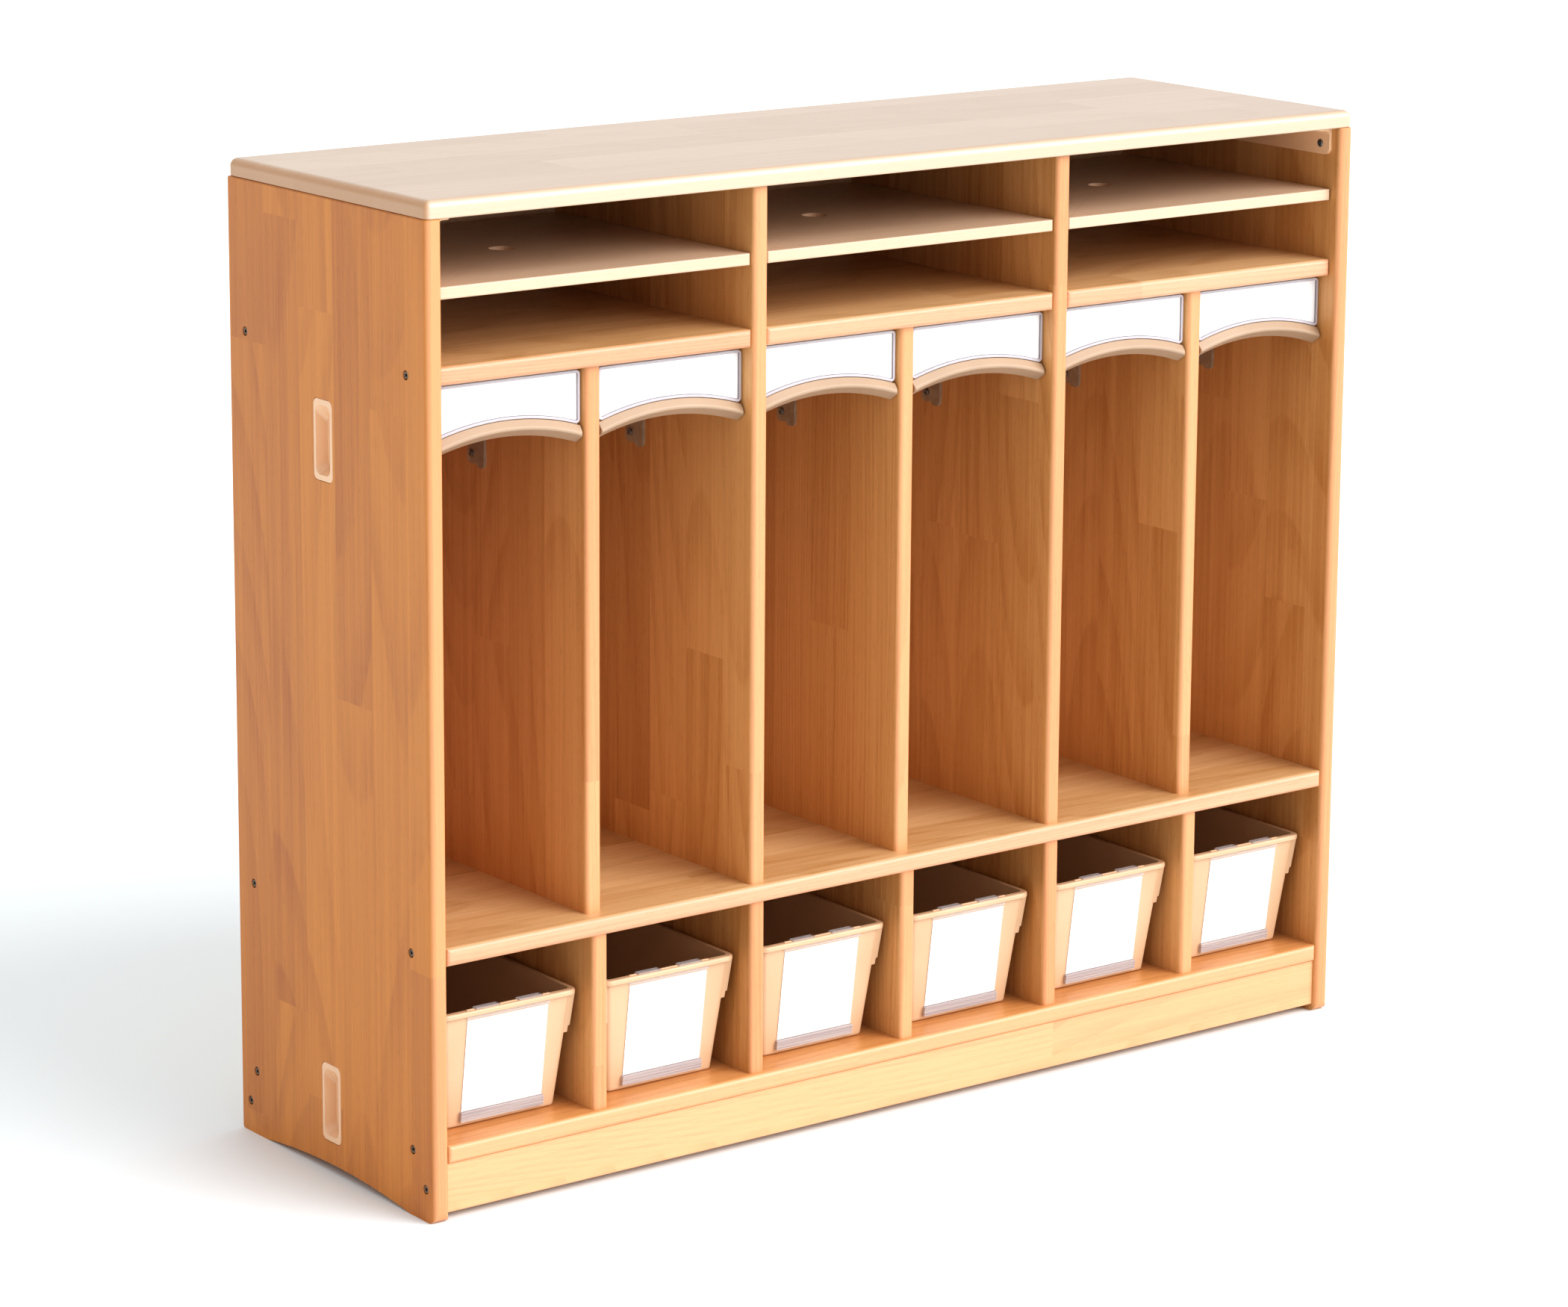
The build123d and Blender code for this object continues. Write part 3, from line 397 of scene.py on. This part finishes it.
def card():
    """Matt white card with a trace of fibre."""
    finish = Finish("white_card", 0.62)
    fibre = finish.noise(finish.position(), scale=1400.0, detail=3.0)
    finish.colour(finish.mix(fibre, rgb(0.90, 0.90, 0.90), rgb(0.95, 0.95, 0.95)))
    finish.bump(fibre, 0.04, 0.0001)
    return finish


# the pane's two faces, measured back from the front of the window's rim
PANE_FRONT = 0.0004
PANE_BACK = 0.0019

# where the holder's ribbed strip ends above its foot, and where its head starts below its top
STRIP_END = (0.0110, 0.0104)
HEAD_START = (0.0118, 0.0108)


def window_clear():
    """The name window's pane is nearly invisible, and its raised rim is a smoky lilac."""
    finish = Finish("clear_window", 0.12, 0.3, 0.06)
    maths = finish.maths
    y = finish.place()[Y]
    window_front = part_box("name_windows")[0].y
    ahead = maths("LESS_THAN", y, window_front + PANE_FRONT)
    behind = maths("GREATER_THAN", y, window_front + PANE_BACK)
    rim = maths("ADD", ahead, behind, clamp=True)
    haze = finish.noise(finish.position(), scale=60.0, detail=2.0)
    finish.colour(finish.mix(haze, rgb(0.62, 0.58, 0.64), rgb(0.72, 0.68, 0.72)))
    finish.alpha(maths("ADD", maths("MULTIPLY", rim, 0.62), 0.05))
    finish.bump(haze, 0.03, 0.0003)
    return finish


def label_clear():
    """The bin label's sheet is clear, and the ribbed strip along its foot is a smoky lilac."""
    finish = Finish("clear_label", 0.14, 0.3, 0.06)
    maths = finish.maths
    x, y, z = finish.place()
    low, high = (corner.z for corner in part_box("bin_label_holder_1"))
    strip = finish.step(z, *(low + height for height in STRIP_END))
    head = finish.step(z, *(high - drop for drop in HEAD_START))
    haze = finish.noise(finish.position(), scale=60.0, detail=2.0)
    lines = finish.noise(finish.join(maths("MULTIPLY", x, 6.0), y, maths("MULTIPLY", z, 900.0)), detail=2.0)
    tint = finish.mix(finish.step(lines, 0.4, 0.6), rgb(0.50, 0.44, 0.46), rgb(0.64, 0.58, 0.57))
    finish.colour(finish.mix(strip, rgb(0.72, 0.68, 0.70), tint))
    hidden = maths("ADD", maths("MULTIPLY", strip, 0.62), maths("MULTIPLY", head, 0.22))
    finish.alpha(maths("ADD", hidden, 0.04))
    finish.bump(haze, 0.03, 0.0003)
    return finish


def hook_clear():
    """Frosted clear hook, a little warm from the wood behind it."""
    finish = Finish("frosted_hook", 0.3, 0.2)
    haze = finish.noise(finish.position(), scale=120.0, detail=3.0)
    finish.colour(finish.mix(haze, rgb(0.56, 0.42, 0.30), rgb(0.70, 0.56, 0.43)))
    finish.alpha(finish.maths("ADD", 0.5, finish.maths("MULTIPLY", haze, 0.2)))
    finish.bump(haze, 0.05, 0.0003)
    return finish


def zinc(name, pale, deep, roughness):
    """Plated steel with fine turning marks and duller spots."""
    finish = Finish(name, roughness, metallic=1.0)
    position = finish.position()
    spots = finish.noise(position, scale=500.0, detail=3.0)
    finish.colour(finish.mix(finish.step(spots, 0.35, 0.65), pale, deep))
    finish.rough(finish.maths("ADD", roughness - 0.1, finish.maths("MULTIPLY", spots, 0.25)))
    finish.bump(finish.noise(position, scale=2400.0, detail=1.0), 0.08, 0.0001)
    return finish


# ---------------------------------------------------------------- which finish goes on which node
def wear(finish, *nodes):
    for node in nodes:
        NODES[node].data.materials.clear()
        NODES[node].data.materials.append(finish.material)


def numbered(stem, numbers):
    return [f"{stem}_{number}" for number in numbers]


wear(side_wood_painted_shade(), "left_side_panel")
wear(upright_wood("honey_wood_upright", 11.0),
     "right_side_panel", *numbered("divider", (1, 2)), *numbered("half_divider", BAYS))
wear(upright_wood("honey_wood_low_upright", 57.0), *numbered("bin_divider", BIN_DIVIDERS))
wear(shelf_wood("honey_wood_main_shelf", 3.0), "main_shelf")
wear(low_shelf_wood(), "bottom_shelf")
wear(shelf_wood("honey_wood_coat_shelf", 15.0, board_gap=BAY_PITCH), *numbered("coat_shelf", BAYS))
wear(plinth_wood(), "front_plinth", "rear_plinth")
wear(top_wood(), "top_panel")
wear(back_ply(), "back_panel")
wear(shelf_ply(), *numbered("upper_shelf", BAYS))
wear(moulded("cream_rail", rgb(0.445, 0.308, 0.210), rgb(0.41, 0.28, 0.187)), *numbered("name_rail", PLACES))
wear(moulded("tan_bin", rgb(0.65, 0.43, 0.270), rgb(0.61, 0.395, 0.243), 0.36), *numbered("bin", PLACES))
wear(moulded("tan_bracket", rgb(0.93, 0.62, 0.38), rgb(0.87, 0.56, 0.34), 0.3),
     "top_bracket_left", "top_bracket_right")
wear(moulded("tan_cup", rgb(0.88, 0.56, 0.34), rgb(0.82, 0.50, 0.30), 0.26, 0.3), "link_cups")
wear(window_clear(), "name_windows")
wear(label_clear(), *numbered("bin_label_holder", PLACES))
wear(card(), "name_cards", *numbered("bin_card", PLACES))
wear(hook_clear(), "coat_hooks")
wear(zinc("dark_zinc", rgb(0.26, 0.20, 0.15), rgb(0.13, 0.10, 0.08), 0.42), "side_screws")
wear(zinc("grey_zinc", rgb(0.36, 0.37, 0.38), rgb(0.20, 0.20, 0.21), 0.38),
     "fitting_screws", "top_bracket_screws", "back_panel_screws")
wear(zinc("bright_zinc", rgb(0.70, 0.70, 0.68), rgb(0.52, 0.52, 0.50), 0.32), "shelf_pins")


# ---------------------------------------------------------------- floor, light and camera
FLOOR_HALF = 30.0

DOME_LEFT = 0.66
DOME_RIGHT = 0.85
DOME_TURN = (-0.9, 0.4)               # the dome changes between these two shares of +X

KEY_FROM = (0.42, -0.76, 0.50)
KEY_POWER = 2.9
KEY_SPREAD = 50.0

CAMERA_PLACE = (-3.1561, -4.1569, 1.7383)
CAMERA_TURN = 36.896                  # degrees from looking along +Y, towards +X
CAMERA_DIP = 11.844
CAMERA_ROLL = 0.367
CAMERA_LENS = 113.205
CAMERA_SENSOR = 36.0
CAMERA_SHIFT = -0.10
CAMERA_REACH = 100.0


def make_floor():
    """A wide pale floor."""
    mesh = bpy.data.meshes.new("floor")
    shape = bmesh.new()
    bmesh.ops.create_grid(shape, x_segments=2, y_segments=2, size=FLOOR_HALF)
    shape.to_mesh(mesh)
    shape.free()
    floor = bpy.data.objects.new("floor", mesh)
    bpy.context.scene.collection.objects.link(floor)
    finish = Finish("pale_floor", 0.7)
    cloud = finish.noise(finish.position(), scale=0.8, detail=2.0)
    finish.colour(finish.mix(cloud, rgb(0.89, 0.945, 0.975), rgb(0.90, 0.955, 0.98)))
    mesh.materials.append(finish.material)


def make_world():
    """A white studio: plain white where the camera sees it, and the light it gives is brighter to the right
    and dimmer on the left.
    """
    world = bpy.data.worlds.new("studio")
    world.use_nodes = True
    tree = world.node_tree
    background = tree.nodes["Background"]
    direction = tree.nodes.new("ShaderNodeTexCoord")
    split = tree.nodes.new("ShaderNodeSeparateXYZ")
    level = tree.nodes.new("ShaderNodeMapRange")
    level.interpolation_type = "SMOOTHSTEP"
    level.inputs["From Min"].default_value, level.inputs["From Max"].default_value = DOME_TURN
    level.inputs["To Min"].default_value = DOME_LEFT
    level.inputs["To Max"].default_value = DOME_RIGHT
    seen = tree.nodes.new("ShaderNodeLightPath")
    strength = tree.nodes.new("ShaderNodeMix")
    strength.inputs[3].default_value = 1.0
    background.inputs["Color"].default_value = rgb(1.0, 1.0, 1.0)
    tree.links.new(direction.outputs["Generated"], split.inputs[0])
    tree.links.new(split.outputs[0], level.inputs["Value"])
    tree.links.new(seen.outputs["Is Camera Ray"], strength.inputs[0])
    tree.links.new(level.outputs[0], strength.inputs[2])
    tree.links.new(strength.outputs[0], background.inputs["Strength"])
    bpy.context.scene.world = world


def make_key_light():
    """A broad soft light from the front right."""
    light = bpy.data.lights.new("key_softbox", "SUN")
    light.energy = KEY_POWER
    light.angle = radians(KEY_SPREAD)
    lamp = bpy.data.objects.new("key_softbox", light)
    lamp.matrix_world = Vector(KEY_FROM).to_track_quat("Z", "Y").to_matrix().to_4x4()
    bpy.context.scene.collection.objects.link(lamp)


def make_camera():
    data = bpy.data.cameras.new("camera")
    data.lens = CAMERA_LENS
    data.sensor_width = CAMERA_SENSOR
    data.shift_y = CAMERA_SHIFT
    data.clip_end = CAMERA_REACH
    camera = bpy.data.objects.new("camera", data)
    turn = Matrix.Rotation(-radians(CAMERA_TURN), 4, "Z")
    dip = Matrix.Rotation(radians(90.0 - CAMERA_DIP), 4, "X")
    roll = Matrix.Rotation(radians(CAMERA_ROLL), 4, "Z")
    camera.matrix_world = Matrix.Translation(CAMERA_PLACE) @ turn @ dip @ roll
    bpy.context.scene.collection.objects.link(camera)
    bpy.context.scene.camera = camera


make_floor()
make_world()
make_key_light()
make_camera()
bpy.context.scene.view_settings.view_transform = "Standard"
bpy.context.scene.view_settings.look = "Medium High Contrast"
